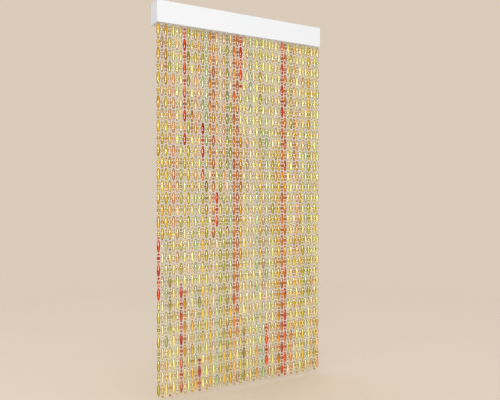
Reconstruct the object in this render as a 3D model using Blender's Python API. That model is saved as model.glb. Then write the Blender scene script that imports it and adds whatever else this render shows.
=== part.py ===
"""Bead door curtain: strings of plastic beads that hang side by side from a white box rail.

The rail is an extruded hollow profile with a T-shaped track in its underside. Seven carrier
strips lie in the track, one behind the other along the rail, and each one holds seven strings.
A string swells where its long beads sit and is narrow between them, and every second string
is half a bead repeat lower, so that long beads lie beside the groups of balls.

Frame: +Z up, +X along the rail to the right, the front faces -Y. The origin is the centre of
the rail's back face, which lies against the wall above the doorway.
"""

import math

import bmesh
import bpy
from mathutils import Matrix, Vector

# Overall size, in metres
CURTAIN_WIDTH = 1.000
CURTAIN_HEIGHT = 2.000

# Box rail
RAIL_DEPTH = 0.090
RAIL_HEIGHT = 0.110
RAIL_WALL = 0.002
RAIL_CORNER_RADIUS = 0.0012
CORNER_STEPS = 3
FIT_GAP = 0.0003

# Track in the rail's underside, with depths measured back from the rail's front face
TRACK_DEPTH = 0.012
TRACK_SLOT_WIDTH = 0.0052
TRACK_RIB_HEIGHT = 0.008
TRACK_RIB_THICKNESS = 0.0015

# End caps
CAP_THICKNESS = 0.002
TONGUE_LENGTH = 0.012
TONGUE_WALL = 0.0015

# Carrier strips
STRIP_COUNT = 7
STRIP_DEPTH = 0.009
STRIP_THICKNESS = 0.003

# Strings of beads
STRANDS_PER_STRIP = 7
STRAND_COUNT = STRIP_COUNT * STRANDS_PER_STRIP
STRAND_PITCH = 0.0204
STRAND_SIDES = 3
ROOT_RADIUS = 0.0022
FIRST_BEAD_DROP = 0.003

# One bead repeat from the top down, as it is threaded on every string
BEAD_REPEAT = (
    {"bead": "long", "length": 0.0625, "width": 0.0164},
    {"bead": "small ball", "length": 0.0123, "width": 0.0123},
    {"bead": "large ball", "length": 0.0175, "width": 0.0175},
    {"bead": "small ball", "length": 0.0123, "width": 0.0123},
)
BEAD_GAP = 0.0041

# Widths of the plain string solid: across a long bead's middle, and along the balls, where
# the solid has the balls' mean width
SWELL_WIDTH = BEAD_REPEAT[0]["width"]
NECK_WIDTH = 0.0088

# Worked out from the sizes above
REPEAT_LENGTH = sum(bead["length"] for bead in BEAD_REPEAT) + len(BEAD_REPEAT) * BEAD_GAP
LONG_BEAD_LENGTH = BEAD_REPEAT[0]["length"]
RAIL_TOP = RAIL_HEIGHT / 2
RAIL_BOTTOM = -RAIL_HEIGHT / 2
RAIL_FRONT = -RAIL_DEPTH
CURTAIN_BOTTOM = RAIL_TOP - CURTAIN_HEIGHT
STRAND_PLANE = RAIL_FRONT + TRACK_DEPTH
PROFILE_LENGTH = CURTAIN_WIDTH - 2 * (CAP_THICKNESS + FIT_GAP)
STRIP_BOTTOM = RAIL_BOTTOM + RAIL_WALL + FIT_GAP


def clear_scene():
    """Removes every object, so that the script can be run again."""
    for item in list(bpy.data.objects):
        bpy.data.objects.remove(item, do_unlink=True)


def new_collection(name):
    """A collection linked to the scene."""
    collection = bpy.data.collections.new(name)
    bpy.context.scene.collection.children.link(collection)
    return collection


def principled(name, colour, roughness, metallic=0.0):
    """A material with one Principled BSDF."""
    material = bpy.data.materials.new(name)
    material.use_nodes = True
    shader = material.node_tree.nodes["Principled BSDF"]
    shader.inputs["Base Color"].default_value = (*colour, 1.0)
    shader.inputs["Roughness"].default_value = roughness
    shader.inputs["Metallic"].default_value = metallic
    return material


def add_object(name, mesh, collection, material=None):
    """An object of its own for a mesh."""
    item = bpy.data.objects.new(name, mesh)
    collection.objects.link(item)
    if material is not None:
        mesh.materials.append(material)
    return item


def box(name, low, high, collection, material=None):
    """A box between two opposite corners."""
    low = Vector(low)
    high = Vector(high)
    size = high - low
    bm = bmesh.new()
    bmesh.ops.create_cube(bm, size=1.0)
    bmesh.ops.scale(bm, vec=size, verts=bm.verts)
    mesh = bpy.data.meshes.new(name)
    bm.to_mesh(mesh)
    bm.free()
    item = add_object(name, mesh, collection, material)
    item.location = (low + high) / 2
    return item


def round_corner(centre, start_degrees):
    """Points of a quarter circle about centre, clockwise from start_degrees."""
    points = []
    for step in range(CORNER_STEPS + 1):
        angle = math.radians(start_degrees - 90.0 * step / CORNER_STEPS)
        offset = Vector((math.cos(angle), math.sin(angle))) * RAIL_CORNER_RADIUS
        points.append(Vector(centre) + offset)
    return points


def outer_corners():
    """The rail's four rounded outer corners in (Y, Z), clockwise from the lower front one."""
    inset = RAIL_CORNER_RADIUS
    front = RAIL_FRONT + inset
    back = -inset
    low = RAIL_BOTTOM + inset
    high = RAIL_TOP - inset
    return {
        "lower front": round_corner((front, low), 270.0),
        "upper front": round_corner((front, high), 180.0),
        "upper back": round_corner((back, high), 90.0),
        "lower back": round_corner((back, low), 0.0),
    }


def rib_outline(near, far):
    """Three sides of a rib that stands on the rail's floor, from one face to the other."""
    floor = RAIL_BOTTOM + RAIL_WALL
    top = floor + TRACK_RIB_HEIGHT
    return [Vector((near, floor)), Vector((near, top)), Vector((far, top)), Vector((far, floor))]


def rail_outline():
    """The profile in (Y, Z): one outline, because the track's slot opens the hollow below."""
    corners = outer_corners()
    floor = RAIL_BOTTOM + RAIL_WALL
    slot_front = STRAND_PLANE - TRACK_SLOT_WIDTH / 2
    slot_back = STRAND_PLANE + TRACK_SLOT_WIDTH / 2
    track_half = STRIP_DEPTH / 2 + FIT_GAP
    inner_front = RAIL_FRONT + RAIL_WALL
    inner_back = -RAIL_WALL
    inner_top = RAIL_TOP - RAIL_WALL

    points = corners["lower front"] + corners["upper front"]
    points += corners["upper back"] + corners["lower back"]
    points += [Vector((slot_back, RAIL_BOTTOM)), Vector((slot_back, floor))]
    rib_near = STRAND_PLANE + track_half
    points += rib_outline(rib_near, rib_near + TRACK_RIB_THICKNESS)
    points += [Vector((inner_back, floor)), Vector((inner_back, inner_top))]
    points += [Vector((inner_front, inner_top)), Vector((inner_front, floor))]
    rib_near = STRAND_PLANE - track_half
    points += rib_outline(rib_near - TRACK_RIB_THICKNESS, rib_near)
    points += [Vector((slot_front, floor)), Vector((slot_front, RAIL_BOTTOM))]
    return points


def extrude_along_rail(name, outline, length, centre_x, collection, material):
    """Extrudes an outline in (Y, Z) along X, as a filled 2D curve turned into the rail's frame."""
    curve = bpy.data.curves.new(name, "CURVE")
    curve.dimensions = "2D"
    curve.fill_mode = "BOTH"
    curve.extrude = length / 2
    spline = curve.splines.new("POLY")
    spline.points.add(len(outline) - 1)
    for point, place in zip(spline.points, outline):
        point.co = (place.x, place.y, 0.0, 1.0)
    spline.use_cyclic_u = True
    item = bpy.data.objects.new(name + "_curve", curve)
    collection.objects.link(item)
    # The curve's X, Y and Z become the rail's Y, Z and X
    turn = Matrix(((0, 0, 1, centre_x), (1, 0, 0, 0), (0, 1, 0, 0), (0, 0, 0, 1)))
    item.matrix_world = turn
    bpy.context.view_layer.update()
    mesh = solid_mesh(item, name)
    bpy.data.objects.remove(item, do_unlink=True)
    solid = add_object(name, mesh, collection, material)
    solid.matrix_world = turn
    return solid


def solid_mesh(item, name):
    """The evaluated curve as one closed mesh, with its loose caps welded on."""
    depsgraph = bpy.context.evaluated_depsgraph_get()
    mesh = bpy.data.meshes.new_from_object(item.evaluated_get(depsgraph))
    mesh.name = name
    bm = bmesh.new()
    bm.from_mesh(mesh)
    bmesh.ops.remove_doubles(bm, verts=bm.verts, dist=0.00001)
    bmesh.ops.recalc_face_normals(bm, faces=bm.faces)
    bm.to_mesh(mesh)
    bm.free()
    mesh.materials.clear()
    return mesh


def cut(item, cutter):
    """Takes the cutter's shape out of the item."""
    cutter.hide_render = True
    cutter.display_type = "WIRE"
    modifier = item.modifiers.new("cut " + cutter.name, "BOOLEAN")
    modifier.operation = "DIFFERENCE"
    modifier.solver = "EXACT"
    modifier.object = cutter


def join(item, other):
    """Adds the other's shape to the item as one body. The other stays as a guide."""
    other.hide_render = True
    other.display_type = "WIRE"
    modifier = item.modifiers.new("join " + other.name, "BOOLEAN")
    modifier.operation = "UNION"
    modifier.solver = "EXACT"
    modifier.object = other


def build_rail(parts, material):
    """The hollow profile between the end caps."""
    outline = rail_outline()
    return extrude_along_rail("rail", outline, PROFILE_LENGTH, 0.0, parts, material)


def build_end_cap(side, name, parts, guides, material):
    """A cover plate with a hollow tongue in the profile above the track. side is -1 or 1."""
    corners = outer_corners()
    outline = [point for row in corners.values() for point in row]
    plate_x = side * (CURTAIN_WIDTH - CAP_THICKNESS) / 2
    cap = extrude_along_rail(name, outline, CAP_THICKNESS, plate_x, parts, material)

    # The tongue starts halfway through the plate, so that the two overlap and fuse
    outer_end = side * (CURTAIN_WIDTH / 2 - CAP_THICKNESS / 2)
    inner_end = side * (CURTAIN_WIDTH / 2 - CAP_THICKNESS - TONGUE_LENGTH)
    plate_face = side * (CURTAIN_WIDTH / 2 - CAP_THICKNESS)
    margin = RAIL_WALL + FIT_GAP
    front = RAIL_FRONT + margin
    back = -margin
    low = RAIL_BOTTOM + RAIL_WALL + TRACK_RIB_HEIGHT + FIT_GAP
    high = RAIL_TOP - margin
    tongue_low = (min(outer_end, inner_end), front, low)
    tongue_high = (max(outer_end, inner_end), back, high)
    join(cap, box(name + "_tongue", tongue_low, tongue_high, guides))

    past_end = inner_end - side * TONGUE_WALL
    hollow_low = (min(plate_face, past_end), front + TONGUE_WALL, low + TONGUE_WALL)
    hollow_high = (max(plate_face, past_end), back - TONGUE_WALL, high - TONGUE_WALL)
    cut(cap, box(name + "_hollow", hollow_low, hollow_high, guides))
    return cap


def corner_radius(width):
    """The corner radius of a three-sided section whose front side has this width."""
    return width / (2 * math.sin(math.pi / STRAND_SIDES))


def long_bead_tops(first_top):
    """The upper ends of a string's long beads that fit above the curtain's lower edge."""
    tops = []
    top = first_top
    while top - LONG_BEAD_LENGTH > CURTAIN_BOTTOM:
        tops.append(top)
        top -= REPEAT_LENGTH
    return tops


def strand_sections(first_top):
    """Height and corner radius of each section of one string, from its root down."""
    neck = corner_radius(NECK_WIDTH)
    swell = corner_radius(SWELL_WIDTH)
    bead_start = RAIL_BOTTOM - FIRST_BEAD_DROP
    sections = [
        {"height": STRIP_BOTTOM + STRIP_THICKNESS / 2, "radius": ROOT_RADIUS},
        {"height": bead_start + FIRST_BEAD_DROP / 2, "radius": ROOT_RADIUS},
    ]
    if first_top < bead_start:
        sections.append({"height": bead_start, "radius": neck})
    for top in long_bead_tops(first_top):
        sections.append({"height": top, "radius": neck})
        sections.append({"height": top - LONG_BEAD_LENGTH / 2, "radius": swell})
        sections.append({"height": top - LONG_BEAD_LENGTH, "radius": neck})
    sections.append({"height": CURTAIN_BOTTOM, "radius": neck})
    return sections


def add_strand(bm, x, sections):
    """Lofts one string through its three-sided sections, each with a flat side to the front."""
    rings = []
    for section in sections:
        ring = []
        for side in range(STRAND_SIDES):
            angle = math.radians(90.0 + 360.0 * side / STRAND_SIDES)
            offset_x = section["radius"] * math.cos(angle)
            offset_y = section["radius"] * math.sin(angle)
            ring.append(bm.verts.new((x + offset_x, STRAND_PLANE + offset_y, section["height"])))
        rings.append(ring)
    for upper, lower in zip(rings, rings[1:]):
        for side in range(STRAND_SIDES):
            after = (side + 1) % STRAND_SIDES
            bm.faces.new((upper[side], lower[side], lower[after], upper[after]))
    bm.faces.new(rings[0])
    bm.faces.new(reversed(rings[-1]))


def strand_x(index):
    """The place of a string along the rail, counted from the left."""
    return (index - (STRAND_COUNT - 1) / 2) * STRAND_PITCH


def build_strip(number, parts, guides, material):
    """One carrier strip with its strings, fused at their roots."""
    first = number * STRANDS_PER_STRIP
    last = first + STRANDS_PER_STRIP - 1
    track_end = PROFILE_LENGTH / 2 - FIT_GAP
    end_margin = (STRAND_PITCH - FIT_GAP) / 2
    left = max(-track_end, strand_x(first) - end_margin)
    right = min(track_end, strand_x(last) + end_margin)
    low = (left, STRAND_PLANE - STRIP_DEPTH / 2, STRIP_BOTTOM)
    high = (right, STRAND_PLANE + STRIP_DEPTH / 2, STRIP_BOTTOM + STRIP_THICKNESS)
    strip = box(f"strand_strip_{number + 1}", low, high, parts, material)

    straight_top = RAIL_BOTTOM - FIRST_BEAD_DROP
    bm = bmesh.new()
    for index in range(first, last + 1):
        lowered = REPEAT_LENGTH / 2 if index % 2 else 0.0
        add_strand(bm, strand_x(index), strand_sections(straight_top - lowered))
    bmesh.ops.recalc_face_normals(bm, faces=bm.faces)
    mesh = bpy.data.meshes.new(f"strings_{number + 1}")
    bm.to_mesh(mesh)
    bm.free()
    join(strip, add_object(f"strings_{number + 1}", mesh, guides))
    return strip


def main():
    """Builds the curtain from an empty scene."""
    clear_scene()
    parts = new_collection("bead_door_curtain")
    guides = new_collection("guides")
    rail_white = principled("rail_white", (0.90, 0.90, 0.90), roughness=0.45)
    cap_white = principled("cap_white", (0.80, 0.80, 0.81), roughness=0.50)
    bead_gold = principled("bead_gold", (0.83, 0.68, 0.30), roughness=0.12)
    build_rail(parts, rail_white)
    build_end_cap(-1, "end_cap_left", parts, guides, cap_white)
    build_end_cap(1, "end_cap_right", parts, guides, cap_white)
    for number in range(STRIP_COUNT):
        build_strip(number, parts, guides, bead_gold)


main()
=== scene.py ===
"""Bead door curtain: the finish of a curtain of clear tinted beads under a white box rail."""

import math

import bmesh
import bpy
import numpy as np
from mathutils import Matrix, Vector


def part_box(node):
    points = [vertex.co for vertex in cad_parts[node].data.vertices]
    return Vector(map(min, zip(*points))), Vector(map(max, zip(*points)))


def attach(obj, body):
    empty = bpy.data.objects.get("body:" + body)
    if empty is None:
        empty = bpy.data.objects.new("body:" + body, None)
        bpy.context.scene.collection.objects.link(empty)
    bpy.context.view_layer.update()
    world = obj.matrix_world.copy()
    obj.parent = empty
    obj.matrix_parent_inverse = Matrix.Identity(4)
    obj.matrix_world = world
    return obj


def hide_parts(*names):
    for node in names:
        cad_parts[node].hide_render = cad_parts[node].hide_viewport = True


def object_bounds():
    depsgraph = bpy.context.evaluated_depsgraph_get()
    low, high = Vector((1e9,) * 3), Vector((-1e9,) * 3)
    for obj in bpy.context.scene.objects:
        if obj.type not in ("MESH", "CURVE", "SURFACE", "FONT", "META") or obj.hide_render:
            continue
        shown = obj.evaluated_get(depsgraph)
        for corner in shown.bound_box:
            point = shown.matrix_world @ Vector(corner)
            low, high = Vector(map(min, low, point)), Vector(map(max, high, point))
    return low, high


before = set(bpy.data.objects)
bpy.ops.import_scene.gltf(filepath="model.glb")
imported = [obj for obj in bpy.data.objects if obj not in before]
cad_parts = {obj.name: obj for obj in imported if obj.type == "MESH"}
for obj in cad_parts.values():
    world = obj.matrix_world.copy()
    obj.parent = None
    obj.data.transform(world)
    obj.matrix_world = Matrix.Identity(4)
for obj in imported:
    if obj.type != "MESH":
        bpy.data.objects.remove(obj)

cad_low, cad_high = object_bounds()
rail_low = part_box("rail")[0]

# Strings and beads, in metres
STRING_COUNT = 49
STRINGS_PER_STRIP = 7
STRING_PITCH = 0.0204
STRING_DEPTH = 0.012
FIRST_BEAD_DROP = 0.003
BEAD_GAP = 0.0041
# "core" holds the radius of the milky core round the bore, from one end of the bead to the other
LONG_BEAD = {"length": 0.0625, "width": 0.0164, "rings": 14, "core": (0.0015, 0.0022, 0.0023, 0.0015)}
LARGE_BALL = {"length": 0.0175, "width": 0.0175, "rings": 8, "core": (0.0015, 0.0023, 0.0015)}
SMALL_BALL = {"length": 0.0123, "width": 0.0123, "rings": 8, "core": (0.0019, 0.0019)}
BALL_GROUP = (SMALL_BALL, LARGE_BALL, SMALL_BALL)
BEAD_SIDES = 12
CORE_WOBBLE = 0.14
CORE_LOBES = 3
CORE_TWIST = 2.1
LIP_RADIUS = 0.0026
CORD_RADIUS = 0.00110
CORD_SIDES = 6
CORD_STEP = 0.030
# The knot above the carrier strip, from its top down
CORD_ABOVE_STRIP = 0.0005
ROOT_KNOT_LIFTS = np.array((0.0022, 0.0018, 0.0008))
ROOT_KNOT_RADII = np.array((0.0001, 0.0018, 0.0020))
# The knot below the last bead, from its top down, in shares of its radius
END_KNOT_RADIUS = 0.0021
END_KNOT_LIFTS = np.array((0.6, 0.0, -0.6, -0.95))
END_KNOT_WIDTHS = np.array((0.75, 1.0, 0.75, 0.05))
# One more small ball ends a string where this share of it fits above the curtain's end
LAST_BALL_SHARE = 0.9
# The carrier strips lie on the floor of the rail's track
TRACK_FLOOR = 0.0023
CARRIER_HALF_DEPTH = 0.0045
CARRIER_EDGE = 0.0006

GROUP_LENGTH = sum(ball["length"] for ball in BALL_GROUP) + 2 * BEAD_GAP
REPEAT_LENGTH = LONG_BEAD["length"] + GROUP_LENGTH + 2 * BEAD_GAP
BEADS_TOP = rail_low.z - FIRST_BEAD_DROP
CURTAIN_BOTTOM = cad_low.z
STRING_PLANE = rail_low.y + STRING_DEPTH

# How deep the dye is at a bead's middle, from 0, palest, to 1, deepest, and how much that changes
# over the bead's length and width
BEAD_DEPTH = 0.50
SMALL_BALL_DEPTH = 0.42
DEPTH_ALONG = 0.6
DEPTH_ACROSS = 0.5
DEPTH_SPREAD = 0.18
# The same for the share of the second tint, which starts anywhere between two values
SECOND_TINT_START = (-1.0, 0.5)
SECOND_TINT_ALONG = 1.3
SECOND_TINT_ACROSS = 1.1
HUE_SPREAD = 0.05
# The ends of a bead are darkened with painted shade, which stands in for their dark rims under the
# light, in shares of its length from its middle
TIP_START = 0.32
TIP_LENGTH = 0.18
TIP_SHADE = 0.50

# Pattern scales to the metre: dye swirls of 4.8 mm, bubbles of 0.6 mm, die lines 2 mm apart and a
# grain of 0.8 mm. The wave texture's own scale of 390 sets the cord's strands 0.8 mm apart.
SWIRLS_PER_METRE = 210.0
BUBBLES_PER_METRE = 1600.0
DIE_LINES_PER_METRE = 500.0
GRAINS_PER_METRE = 1200.0
STRAND_WAVE = 390.0
# Strength of the painted glow of the beads' milky cores
CORE_GLOW = 2.2

# The studio
VIEW_YAW = math.radians(29.25)
VIEW_PITCH = math.radians(-0.59)
BACKDROP = "#DBCBBA"
FLOOR = "#F0E0CD"
FLOOR_DROP = 0.020
FLOOR_SIZE = 10.0
FLOOR_FADE = (1.2, 4.6)
PANEL_COUNT = 2
PANEL_LIGHT = 0.82
PANEL_GAP_LIGHT = 0.20
ROOM_IN_GLOSS = 0.35
CEILING_LIGHT = 0.70
PANEL_EDGE = (-0.95, 0.15)
CEILING_EDGE = (0.35, 0.9)
SENSOR_WIDTH = 36.0
LENS = 40.44
CAMERA_X = -1.466
CAMERA_BEFORE_RAIL = 2.673
CAMERA_ABOVE_END = 1.029
CURTAIN_MIDDLE = (0.0, STRING_PLANE, -0.9)
FLOOR_MIDDLE = (0.0, 0.0, CURTAIN_BOTTOM)
RAIL_END = (rail_low.x, STRING_PLANE, 0.0)
# Soft lamps: name, place, target, width and height, watts, and what they reach
LAMPS = (
    ("front_lamp", (-6.8, -12.6, 0.6), CURTAIN_MIDDLE, (8.0, 6.0), 950.0, ("matt",)),
    ("highlight_box", (-3.9, -4.8, -0.35), CURTAIN_MIDDLE, (2.6, 2.5), 440.0, ("gloss",)),
    ("overhead_lamp", (0.0, -0.5, 4.5), FLOOR_MIDDLE, (6.0, 6.0), 62.0, ("matt",)),
    ("rim_strip", (-5.2, 2.9, 0.4), CURTAIN_MIDDLE, (1.2, 3.0), 60.0, ("clear",)),
    ("side_lamp", (-6.0, -0.3, 0.4), RAIL_END, (3.0, 3.0), 32.0, ("matt",)),
)

# Tints of the clear plastic, from its palest to its deepest part, and the tint it often runs into
TINTS = {
    "clear": ("#DFCFA5", "#C09D6B", "straw"),
    "straw": ("#DED582", "#C2A853", "clear"),
    "gold": ("#DCBC47", "#B98A20", "lime"),
    "amber": ("#CC9417", "#9C5A06", "gold"),
    "olive": ("#BCA740", "#826717", "straw"),
    "lime": ("#C3B74F", "#908325", "straw"),
    "green": ("#A8AA4D", "#66752A", "lime"),
    "mint": ("#C6C49A", "#909F66", "straw"),
    "peach": ("#DFB570", "#C18744", "clear"),
    "rose": ("#CDAA7A", "#AA7A54", "straw"),
    "orange": ("#CE7811", "#9E4103", "gold"),
    "coral": ("#E8A669", "#C46F3D", "peach"),
    "red": ("#D04B11", "#941E05", "coral"),
    "brown": ("#B37822", "#743D0A", "orange"),
}

# The quiet tints of the ground, and the share of the strings that each takes
GROUND_TINTS = {
    "straw": 0.31,
    "gold": 0.14,
    "clear": 0.14,
    "lime": 0.11,
    "peach": 0.10,
    "mint": 0.06,
    "olive": 0.05,
    "amber": 0.05,
    "rose": 0.04,
}
SHORTEST_RUN = 2
LONGEST_RUN = 7
REPEATS_DOWN = 17
# How far, in repeats, a bead may stray into its neighbour's tint
NEIGHBOUR_SPREAD = 0.25

# The stripes that catch the eye: string from the left, first bead repeat, repeats, tint
ACCENTS = (
    (1, 10, 2, "red"),
    (5, 3, 6, "coral"),
    (7, 12, 5, "red"),
    (8, 1, 4, "red"),
    (12, 15, 2, "red"),
    (13, 5, 2, "red"),
    (16, 1, 9, "orange"),
    (17, 8, 1, "red"),
    (20, 1, 6, "green"),
    (22, 1, 13, "orange"),
    (23, 1, 13, "orange"),
    (24, 1, 2, "red"),
    (32, 14, 2, "red"),
    (37, 1, 3, "red"),
    (37, 4, 9, "orange"),
    (37, 13, 5, "red"),
    (38, 1, 12, "orange"),
    (38, 13, 5, "red"),
    (40, 14, 3, "coral"),
)

rng = np.random.default_rng(49)


def linear(value):
    """An sRGB hex colour as linear red, green and blue."""
    parts = [int(value[i : i + 2], 16) / 255 for i in (1, 3, 5)]
    return tuple(c / 12.92 if c <= 0.04045 else ((c + 0.055) / 1.055) ** 2.4 for c in parts)


def add_node(tree, kind, settings=None, **inputs):
    """Adds a node with its settings. An input is a value or another node's output, and goes to the
    socket of its name, or as i0, i1 and so on to the socket of that number."""
    node = tree.nodes.new(kind)
    for name, value in (settings or {}).items():
        setattr(node, name, value)
    for name, value in inputs.items():
        if name[1:].isdigit():
            socket = node.inputs[int(name[1:])]
        else:
            socket = node.inputs[name.replace("_", " ")]
        if isinstance(value, bpy.types.NodeSocket):
            tree.links.new(value, socket)
        else:
            socket.default_value = value
    return node


def new_material(name, **values):
    """A material with one Principled shader whose even values are set on its sockets."""
    material = bpy.data.materials.new(name)
    material.use_nodes = True
    tree = material.node_tree
    shader = tree.nodes["Principled BSDF"]
    for key, value in values.items():
        shader.inputs[key.replace("_", " ")].default_value = value
    return material, tree, shader


def tinted_polystyrene():
    """Clear polystyrene beads with swirled dye, injection moulded in a polished mould: they let
    light through, tinted by the dye and darkened at their ends by painted shade, and show small
    sharp highlights and dark rims."""
    material, tree, shader = new_material(
        "tinted_polystyrene", Roughness=0.04, IOR=1.59, Transmission_Weight=0.95
    )
    place = add_node(tree, "ShaderNodeTexCoord").outputs["Object"]
    # The bead's tint holds its dye colours and the painted shade at its ends
    tint = add_node(tree, "ShaderNodeAttribute", {"attribute_name": "bead_tint"}).outputs["Color"]
    stretched = add_node(tree, "ShaderNodeMapping", i0=place, Scale=(1.0, 1.0, 0.22)).outputs[0]
    # The swirls are drawn out to four times their width along the bead
    swirl = add_node(tree, "ShaderNodeTexNoise", Vector=stretched, Scale=SWIRLS_PER_METRE, Detail=3.0)
    shade = add_node(
        tree, "ShaderNodeMapRange", Value=swirl.outputs[0], From_Min=0.35, From_Max=0.65,
        To_Min=0.70, To_Max=1.15,
    ).outputs[0]
    colour = add_node(
        tree, "ShaderNodeVectorMath", {"operation": "SCALE"}, i0=tint, Scale=shade
    ).outputs[0]
    tree.links.new(colour, shader.inputs["Base Color"])
    return material


def milky_core():
    """Polystyrene full of small bubbles round the bore, where the moulding cooled last: a pale core
    inside the clear tinted plastic. It glows with painted light, brighter at the bubbles, in place
    of the light that the bead gathers."""
    material, tree, shader = new_material("milky_polystyrene_core_painted_glow", Roughness=0.3, IOR=1.59)
    place = add_node(tree, "ShaderNodeTexCoord").outputs["Object"]
    tint = add_node(tree, "ShaderNodeAttribute", {"attribute_name": "bead_tint"}).outputs["Color"]
    # The bubbles are drawn out along the bead
    drawn_out = add_node(tree, "ShaderNodeMapping", i0=place, Scale=(1.0, 1.0, 0.5)).outputs[0]
    bubbles = add_node(tree, "ShaderNodeTexVoronoi", Vector=drawn_out, Scale=BUBBLES_PER_METRE)
    # The light's way through the dye is short here, so the tint is paler at the same hue
    pale = add_node(tree, "ShaderNodeGamma", Color=tint, Gamma=0.5).outputs[0]
    # The bubbles make the core's colour and its painted glow brighter where they sit
    bubbles_and_painted_sparkle = add_node(
        tree, "ShaderNodeMapRange", Value=bubbles.outputs["Distance"], From_Min=0.1, From_Max=0.7,
        To_Min=1.0, To_Max=0.45,
    ).outputs[0]
    colour = add_node(
        tree, "ShaderNodeVectorMath", {"operation": "SCALE"}, i0=pale, Scale=bubbles_and_painted_sparkle
    ).outputs[0]
    tree.links.new(colour, shader.inputs["Base Color"])
    # Painted glow: the core gives off light in its own pale tint, standing in for the light that the
    # bead gathers onto it
    tree.links.new(colour, shader.inputs["Emission Color"])
    shader.inputs["Emission Strength"].default_value = CORE_GLOW
    return material


def twisted_cord():
    """White nylon cord of twisted strands: bright, soft and a little rough, with painted shade in the
    grooves between the strands.
    """
    material, tree, shader = new_material("white_nylon_cord", Roughness=0.6, IOR=1.53)
    place = add_node(tree, "ShaderNodeTexCoord").outputs["Object"]
    turned = add_node(tree, "ShaderNodeMapping", i0=place, Rotation=(0.0, math.radians(35), 0.0))
    twist = add_node(
        tree, "ShaderNodeTexWave", {"bands_direction": "Z"}, Vector=turned.outputs[0],
        Scale=STRAND_WAVE, Distortion=0.5,
    )
    # Painted shade: the colour is darker where the strands' bump is low, in the grooves between them
    shade = add_node(
        tree, "ShaderNodeMix", {"data_type": "RGBA"}, i0=twist.outputs[1],
        i6=(*linear("#E6E3DC"), 1.0), i7=(*linear("#FDFCFA"), 1.0),
    ).outputs[2]
    tree.links.new(shade, shader.inputs["Base Color"])
    bump = add_node(tree, "ShaderNodeBump", Height=twist.outputs[1], Strength=0.4, Distance=0.0003)
    tree.links.new(bump.outputs[0], shader.inputs["Normal"])
    return material


def extruded_pvc():
    """White hard PVC, extruded: satin, with faint die lines along the rail."""
    material, tree, shader = new_material("white_extruded_pvc", Roughness=0.38, IOR=1.53)
    place = add_node(tree, "ShaderNodeTexCoord").outputs["Object"]
    # The die lines run the whole length
    along = add_node(tree, "ShaderNodeMapping", i0=place, Scale=(0.02, 1.0, 1.0)).outputs[0]
    lines = add_node(tree, "ShaderNodeTexNoise", Vector=along, Scale=DIE_LINES_PER_METRE, Detail=2.0)
    shade = add_node(
        tree, "ShaderNodeMix", {"data_type": "RGBA"}, i0=lines.outputs[0],
        i6=(*linear("#EAECEE"), 1.0), i7=(*linear("#F1F3F5"), 1.0),
    ).outputs[2]
    tree.links.new(shade, shader.inputs["Base Color"])
    bump = add_node(tree, "ShaderNodeBump", Height=lines.outputs[0], Strength=0.05, Distance=0.0003)
    tree.links.new(bump.outputs[0], shader.inputs["Normal"])
    return material


def moulded_abs():
    """White ABS, injection moulded with a fine spark-eroded grain: satin."""
    material, tree, shader = new_material("white_moulded_abs", Roughness=0.45, IOR=1.54)
    place = add_node(tree, "ShaderNodeTexCoord").outputs["Object"]
    grain = add_node(tree, "ShaderNodeTexNoise", Vector=place, Scale=GRAINS_PER_METRE, Detail=2.0)
    shade = add_node(
        tree, "ShaderNodeMix", {"data_type": "RGBA"}, i0=grain.outputs[0],
        i6=(*linear("#EAEAEE"), 1.0), i7=(*linear("#F1F1F4"), 1.0),
    ).outputs[2]
    tree.links.new(shade, shader.inputs["Base Color"])
    bump = add_node(tree, "ShaderNodeBump", Height=grain.outputs[0], Strength=0.15, Distance=0.0002)
    tree.links.new(bump.outputs[0], shader.inputs["Normal"])
    return material


def bead_profile(bead):
    """Radius and height of each ring of a bead about its middle, from the top lip down."""
    half_length = bead["length"] / 2
    half_width = bead["width"] / 2
    lip_angle = math.asin(LIP_RADIUS / half_width)
    angles = np.linspace(lip_angle, math.pi - lip_angle, bead["rings"])
    return half_width * np.sin(angles), half_length * np.cos(angles) / math.cos(lip_angle)


def ring_quads(ring_count, sides, closed):
    """Quads between rings of points, each ring and the next. Closed, the last also meets the first,
    as on a bead: from the bore's top edge, over the outside, and back to it through the bore."""
    quads = []
    for ring in range(ring_count if closed else ring_count - 1):
        below = (ring + 1) % ring_count
        for side in range(sides):
            after = (side + 1) % sides
            quads.append(
                (ring * sides + side, below * sides + side, below * sides + after, ring * sides + after)
            )
    return np.array(quads)


def bead_shape(bead):
    """Points, quads and core faces of one bead about its own middle. The core is a little uneven."""
    outside, height = bead_profile(bead)
    core = np.array(bead["core"])
    core_height = np.linspace(height[0], height[-1], len(core))
    radius = np.concatenate((core[:1], outside, core[:0:-1]))
    level = np.concatenate((core_height[:1], height, core_height[:0:-1]))
    turns = 2 * math.pi * np.arange(BEAD_SIDES) / BEAD_SIDES
    ring_radius = np.repeat(radius[:, None], BEAD_SIDES, axis=1)
    for ring in range(len(outside) + 2, len(radius)):
        ring_radius[ring] *= 1 + CORE_WOBBLE * np.cos(CORE_LOBES * turns + CORE_TWIST * ring)
    x = ring_radius * np.cos(turns)
    y = ring_radius * np.sin(turns)
    z = np.repeat(level[:, None], BEAD_SIDES, axis=1)
    points = np.stack((x, y, z), axis=2).reshape(-1, 3)
    quads = ring_quads(len(radius), BEAD_SIDES, closed=True)
    in_core = np.arange(len(quads)) >= (len(outside) + 1) * BEAD_SIDES
    return {"points": points, "quads": quads, "in_core": in_core}


SHAPES = {id(bead): bead_shape(bead) for bead in (LONG_BEAD, LARGE_BALL, SMALL_BALL)}


def string_x(index):
    """The place of a string along the rail, counted from the left."""
    return (index - (STRING_COUNT - 1) / 2) * STRING_PITCH


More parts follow.
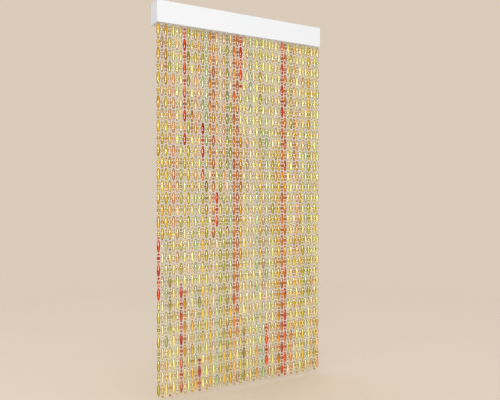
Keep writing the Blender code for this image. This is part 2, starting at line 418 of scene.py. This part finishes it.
def string_layout(index):
    """Each bead of a string: which one, and its top's distance below the first bead line."""
    lowered = REPEAT_LENGTH / 2 if index % 2 else 0.0
    room = BEADS_TOP - CURTAIN_BOTTOM
    beads = []
    repeat = -1 if index % 2 else 0
    while True:
        top = lowered + repeat * REPEAT_LENGTH
        if top > room:
            break
        places = [(LONG_BEAD, top)]
        ball_top = top + LONG_BEAD["length"] + BEAD_GAP
        for ball in BALL_GROUP:
            places.append((ball, ball_top))
            ball_top += ball["length"] + BEAD_GAP
        for bead, start in places:
            if start >= 0 and start + bead["length"] <= room:
                beads.append((bead, start))
        repeat += 1
    last_end = beads[-1][1] + beads[-1][0]["length"]
    if room - last_end > BEAD_GAP + SMALL_BALL["length"] * LAST_BALL_SHARE:
        beads.append((SMALL_BALL, last_end + BEAD_GAP))
    return beads


def plan_string(index):
    """The tint of each bead repeat of a string from the rail down: runs of ground tints, and over
    them the string's stripes."""
    plan = []
    while len(plan) < REPEATS_DOWN:
        name = str(rng.choice(list(GROUND_TINTS), p=list(GROUND_TINTS.values())))
        plan += [name] * int(rng.integers(SHORTEST_RUN, LONGEST_RUN + 1))
    for string, first, repeats, name in ACCENTS:
        if string == index + 1:
            plan[first - 1 : first - 1 + repeats] = [name] * repeats
    return plan


def tint_at(plan, drop):
    """The tint of a bead by its place on the string, with some beads taking a neighbour's."""
    place = drop / REPEAT_LENGTH + rng.normal(0.0, NEIGHBOUR_SPREAD)
    return plan[min(max(int(place), 0), REPEATS_DOWN - 1)]


def dye(tint, share):
    """The colour of a tint for each point's share of depth, from 0, palest, to 1, deepest."""
    pale, deep = (np.array(linear(value)) for value in TINTS[tint][:2])
    return pale * (1 - share[:, None]) + deep * share[:, None]


def bead_colours(tint, bead, points):
    """A colour for each point of a bead: its dye runs from pale to deep along and across it, and
    towards one end or side it may run into a second tint. Painted shade darkens its ends."""
    height = points[:, 2] / bead["length"]
    turn, second_turn = rng.uniform(0.0, 2 * math.pi, 2)
    across = (points[:, 0] * math.cos(turn) + points[:, 1] * math.sin(turn)) / bead["width"]
    second_across = (
        points[:, 0] * math.cos(second_turn) + points[:, 1] * math.sin(second_turn)
    ) / bead["width"]
    depth = SMALL_BALL_DEPTH if bead is SMALL_BALL else BEAD_DEPTH
    way, second_way = rng.choice((-1.0, 1.0), 2)
    share = depth + DEPTH_ALONG * way * height + DEPTH_ACROSS * across
    share = np.clip(share + rng.normal(0.0, DEPTH_SPREAD), 0.0, 1.0)
    blend = rng.uniform(*SECOND_TINT_START) + SECOND_TINT_ALONG * second_way * height
    blend = np.clip(blend + SECOND_TINT_ACROSS * second_across, 0.0, 1.0)[:, None]
    colours = dye(tint, share) * (1 - blend) + dye(TINTS[tint][2], share) * blend
    # Painted shade: the colour darkens towards the bead's ends, in place of the dark rims that light
    # gives its thick tips
    painted_tip_shade = np.clip((np.abs(height) - TIP_START) / TIP_LENGTH, 0.0, 1.0)
    hue_shift = 1.0 + rng.normal(0.0, HUE_SPREAD, 3)
    return np.clip(colours * hue_shift * (1 - TIP_SHADE * painted_tip_shade[:, None]), 0.0, 1.0)


def mesh_object(name, points, quads, materials, slots=None, colours=None):
    """An object made of quads, shaded smooth, with a slot for each face and a colour for each point."""
    mesh = bpy.data.meshes.new(name)
    mesh.from_pydata(points.tolist(), [], quads.tolist())
    for material in materials:
        mesh.materials.append(material)
    if slots is not None:
        mesh.polygons.foreach_set("material_index", slots.astype(np.int32))
    if colours is not None:
        layer = mesh.attributes.new("bead_tint", "FLOAT_COLOR", "POINT")
        rgba = np.concatenate((colours, np.ones((len(colours), 1))), axis=1)
        layer.data.foreach_set("color", rgba.ravel())
    mesh.shade_smooth()
    item = bpy.data.objects.new(name, mesh)
    bpy.context.scene.collection.objects.link(item)
    return item


def build_string(index, clear_plastic, core):
    """One string's beads, joined in one mesh."""
    plan = plan_string(index)
    points, quads, slots, colours = [], [], [], []
    count = 0
    for bead, start in string_layout(index):
        shape = SHAPES[id(bead)]
        turn = rng.uniform(0.0, 2 * math.pi)
        cosine, sine = math.cos(turn), math.sin(turn)
        spin = np.array(((cosine, -sine, 0), (sine, cosine, 0), (0, 0, 1)))
        local = shape["points"] @ spin.T
        centre = (string_x(index), STRING_PLANE, BEADS_TOP - start - bead["length"] / 2)
        points.append(local + centre)
        quads.append(shape["quads"] + count)
        slots.append(shape["in_core"])
        colours.append(bead_colours(tint_at(plan, start), bead, local))
        count += len(local)
    return mesh_object(
        f"bead_string_{index + 1:02d}",
        np.concatenate(points), np.concatenate(quads), (clear_plastic, core),
        np.concatenate(slots), np.concatenate(colours),
    )


def tube(path, radius, sides):
    """Points and quads of an upright tube along a path, with a radius for each step."""
    turns = 2 * math.pi * np.arange(sides) / sides
    points = []
    for centre, size in zip(path, radius):
        ring = np.stack((np.cos(turns) * size, np.sin(turns) * size, np.zeros(sides)), axis=1)
        points.append(ring + centre)
    return np.concatenate(points), ring_quads(len(path), sides, closed=False)


def build_cords(number, cord):
    """The cords of one carrier strip's strings, each with a knot above the strip and one below
    its last bead."""
    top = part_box(f"strand_strip_{number + 1}")[1].z + CORD_ABOVE_STRIP
    points, quads = [], []
    count = 0
    for index in range(number * STRINGS_PER_STRIP, (number + 1) * STRINGS_PER_STRIP):
        beads = string_layout(index)
        beads_end = BEADS_TOP - beads[-1][1] - beads[-1][0]["length"]
        knot_z = max(beads_end - END_KNOT_RADIUS, CURTAIN_BOTTOM + END_KNOT_RADIUS)
        steps = int((top - knot_z) / CORD_STEP)
        heights = np.linspace(top, knot_z + END_KNOT_RADIUS, steps)
        radius = np.full(steps, CORD_RADIUS)
        knot_heights = knot_z + END_KNOT_LIFTS * END_KNOT_RADIUS
        heights = np.concatenate((top + ROOT_KNOT_LIFTS, heights, knot_heights))
        radius = np.concatenate((ROOT_KNOT_RADII, radius, END_KNOT_WIDTHS * END_KNOT_RADIUS))
        path = [(string_x(index), STRING_PLANE, height) for height in heights]
        more_points, more_quads = tube(path, radius, CORD_SIDES)
        points.append(more_points)
        quads.append(more_quads + count)
        count += len(more_points)
    return mesh_object(f"cords_{number + 1}", np.concatenate(points), np.concatenate(quads), (cord,))


def build_carrier(number, plastic):
    """One carrier strip in the rail's track, with rounded edges."""
    strip_low, strip_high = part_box(f"strand_strip_{number + 1}")
    low = Vector((strip_low.x, STRING_PLANE - CARRIER_HALF_DEPTH, rail_low.z + TRACK_FLOOR))
    high = Vector((strip_high.x, STRING_PLANE + CARRIER_HALF_DEPTH, strip_high.z))
    mesh = bpy.data.meshes.new(f"carrier_{number + 1}")
    item = bpy.data.objects.new(f"carrier_{number + 1}", mesh)
    bpy.context.scene.collection.objects.link(item)
    bm = bmesh.new()
    bmesh.ops.create_cube(bm, size=1.0)
    bmesh.ops.scale(bm, vec=high - low, verts=bm.verts)
    bmesh.ops.translate(bm, vec=(low + high) / 2, verts=bm.verts)
    bmesh.ops.bevel(bm, geom=bm.edges, offset=CARRIER_EDGE, segments=2, affect="EDGES")
    bm.to_mesh(mesh)
    bm.free()
    mesh.materials.append(plastic)
    return item


def dress_rail():
    """The rail and its end caps keep their solids and get their plastics."""
    plastics = {"rail": extruded_pvc()}
    abs_plastic = moulded_abs()
    plastics["end_cap_left"] = abs_plastic
    plastics["end_cap_right"] = abs_plastic
    for node, material in plastics.items():
        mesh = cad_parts[node].data
        mesh.materials.clear()
        mesh.materials.append(material)
    return abs_plastic


def build_strings(strip_plastic):
    """All strings with their cords and carriers, in place of the plain solids."""
    clear_plastic = tinted_polystyrene()
    core = milky_core()
    cord = twisted_cord()
    for index in range(STRING_COUNT):
        node = f"strand_strip_{index // STRINGS_PER_STRIP + 1}"
        string = build_string(index, clear_plastic, core)
        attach(string, "root")
        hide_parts(node)
    for number in range(STRING_COUNT // STRINGS_PER_STRIP):
        node = f"strand_strip_{number + 1}"
        cords = build_cords(number, cord)
        carrier = build_carrier(number, strip_plastic)
        for item, slot in ((cords, "bead_strings"), (carrier, "end_cap")):
            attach(item, "root")
            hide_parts(node)


def soft_lamp(name, place, target, size, power, reaches):
    """A soft rectangular lamp aimed at a point. Baffles keep it to what it reaches: matt surfaces,
    highlights, or the inside of clear beads."""
    data = bpy.data.lights.new(name, "AREA")
    data.shape = "RECTANGLE"
    data.size, data.size_y = size
    data.energy = power
    item = bpy.data.objects.new(name, data)
    item.location = place
    item.rotation_euler = (Vector(target) - Vector(place)).to_track_quat("-Z", "Y").to_euler()
    item.visible_camera = False
    item.visible_diffuse = "matt" in reaches
    item.visible_glossy = "gloss" in reaches
    item.visible_transmission = "clear" in reaches
    bpy.context.scene.collection.objects.link(item)
    return item


def white_room():
    """The room's light: a bright panel before the curtain and one behind it, with darker sides that
    give clear beads their dark rims, and an even backdrop where the camera looks past them."""
    world = bpy.data.worlds.new("white_room")
    world.use_nodes = True
    tree = world.node_tree
    tree.nodes.clear()
    way = add_node(tree, "ShaderNodeTexCoord").outputs["Generated"]
    parts = add_node(tree, "ShaderNodeSeparateXYZ", i0=way)
    turn = add_node(
        tree, "ShaderNodeMath", {"operation": "ARCTAN2"}, i0=parts.outputs[0], i1=parts.outputs[1]
    )
    turned = add_node(
        tree, "ShaderNodeMath", {"operation": "MULTIPLY_ADD"}, i0=turn.outputs[0],
        i1=PANEL_COUNT, i2=-PANEL_COUNT * VIEW_YAW,
    )
    wave = add_node(tree, "ShaderNodeMath", {"operation": "COSINE"}, i0=turned.outputs[0])
    panels = add_node(
        tree, "ShaderNodeMapRange", {"interpolation_type": "SMOOTHSTEP"}, Value=wave.outputs[0],
        From_Min=PANEL_EDGE[0], From_Max=PANEL_EDGE[1], To_Min=PANEL_GAP_LIGHT, To_Max=PANEL_LIGHT,
    )
    level = add_node(
        tree, "ShaderNodeMapRange", {"interpolation_type": "SMOOTHSTEP"}, Value=parts.outputs[2],
        From_Min=CEILING_EDGE[0], From_Max=CEILING_EDGE[1], To_Min=0.0, To_Max=1.0,
    )
    room = add_node(
        tree, "ShaderNodeMix", i0=level.outputs[0], i2=panels.outputs[0], i3=CEILING_LIGHT
    )
    path = add_node(tree, "ShaderNodeLightPath")
    # A polarising filter takes most of the room's reflection off the beads
    mirrored = add_node(
        tree, "ShaderNodeMath", {"operation": "MULTIPLY"}, i0=path.outputs["Is Glossy Ray"],
        i1=path.outputs["Is Reflection Ray"],
    )
    filtered = add_node(
        tree, "ShaderNodeMapRange", Value=mirrored.outputs[0], To_Min=1.0, To_Max=ROOM_IN_GLOSS
    )
    strength = add_node(
        tree, "ShaderNodeMath", {"operation": "MULTIPLY"}, i0=room.outputs[0], i1=filtered.outputs[0]
    )
    light = add_node(
        tree, "ShaderNodeBackground", Color=(*linear("#FFFFFF"), 1.0), Strength=strength.outputs[0]
    )
    backdrop = add_node(tree, "ShaderNodeBackground", Color=(*linear(BACKDROP), 1.0), Strength=1.0)
    mixed = add_node(
        tree, "ShaderNodeMixShader", i0=path.outputs["Is Camera Ray"], i1=light.outputs[0],
        i2=backdrop.outputs[0],
    )
    add_node(tree, "ShaderNodeOutputWorld", Surface=mixed.outputs[0])
    bpy.context.scene.world = world


def pale_floor():
    """A matt pale floor that takes the curtain's soft shadow and fades into the backdrop."""
    floor_height = CURTAIN_BOTTOM - FLOOR_DROP
    bpy.ops.mesh.primitive_plane_add(size=FLOOR_SIZE, location=(0.0, 0.0, floor_height))
    floor = bpy.context.object
    floor.name = "pale_floor"
    material = bpy.data.materials.new("matt_floor_paint")
    material.use_nodes = True
    tree = material.node_tree
    tree.nodes.clear()
    place = add_node(tree, "ShaderNodeTexCoord").outputs["Object"]
    reach = add_node(tree, "ShaderNodeVectorMath", {"operation": "LENGTH"}, i0=place)
    far = add_node(
        tree, "ShaderNodeMapRange", {"interpolation_type": "SMOOTHSTEP"},
        Value=reach.outputs["Value"], From_Min=FLOOR_FADE[0], From_Max=FLOOR_FADE[1],
    )
    matt = add_node(tree, "ShaderNodeBsdfDiffuse", Color=(*linear(FLOOR), 1.0))
    clear = add_node(tree, "ShaderNodeBsdfTransparent")
    mixed = add_node(
        tree, "ShaderNodeMixShader", i0=far.outputs[0], i1=matt.outputs[0], i2=clear.outputs[0]
    )
    add_node(tree, "ShaderNodeOutputMaterial", Surface=mixed.outputs[0])
    floor.data.materials.append(material)


def build_studio():
    """A pale floor, a white room, a broad front lamp, a box for the beads' highlights, a strip that
    lights their far rims and a weak lamp for the rail's end."""
    white_room()
    pale_floor()
    for lamp in LAMPS:
        soft_lamp(*lamp)


def place_camera():
    """The photograph's view: from the left front, a little above the curtain's middle."""
    data = bpy.data.cameras.new("camera")
    data.sensor_width = SENSOR_WIDTH
    data.lens = LENS
    camera = bpy.data.objects.new("camera", data)
    bpy.context.scene.collection.objects.link(camera)
    camera.location = (
        CAMERA_X, rail_low.y - CAMERA_BEFORE_RAIL, CURTAIN_BOTTOM + CAMERA_ABOVE_END
    )
    aim = Vector(
        (
            math.sin(VIEW_YAW) * math.cos(VIEW_PITCH),
            math.cos(VIEW_YAW) * math.cos(VIEW_PITCH),
            math.sin(VIEW_PITCH),
        )
    )
    camera.rotation_euler = aim.to_track_quat("-Z", "Y").to_euler()
    bpy.context.scene.camera = camera


bpy.context.scene.view_settings.view_transform = "Standard"
build_strings(dress_rail())
build_studio()
place_camera()
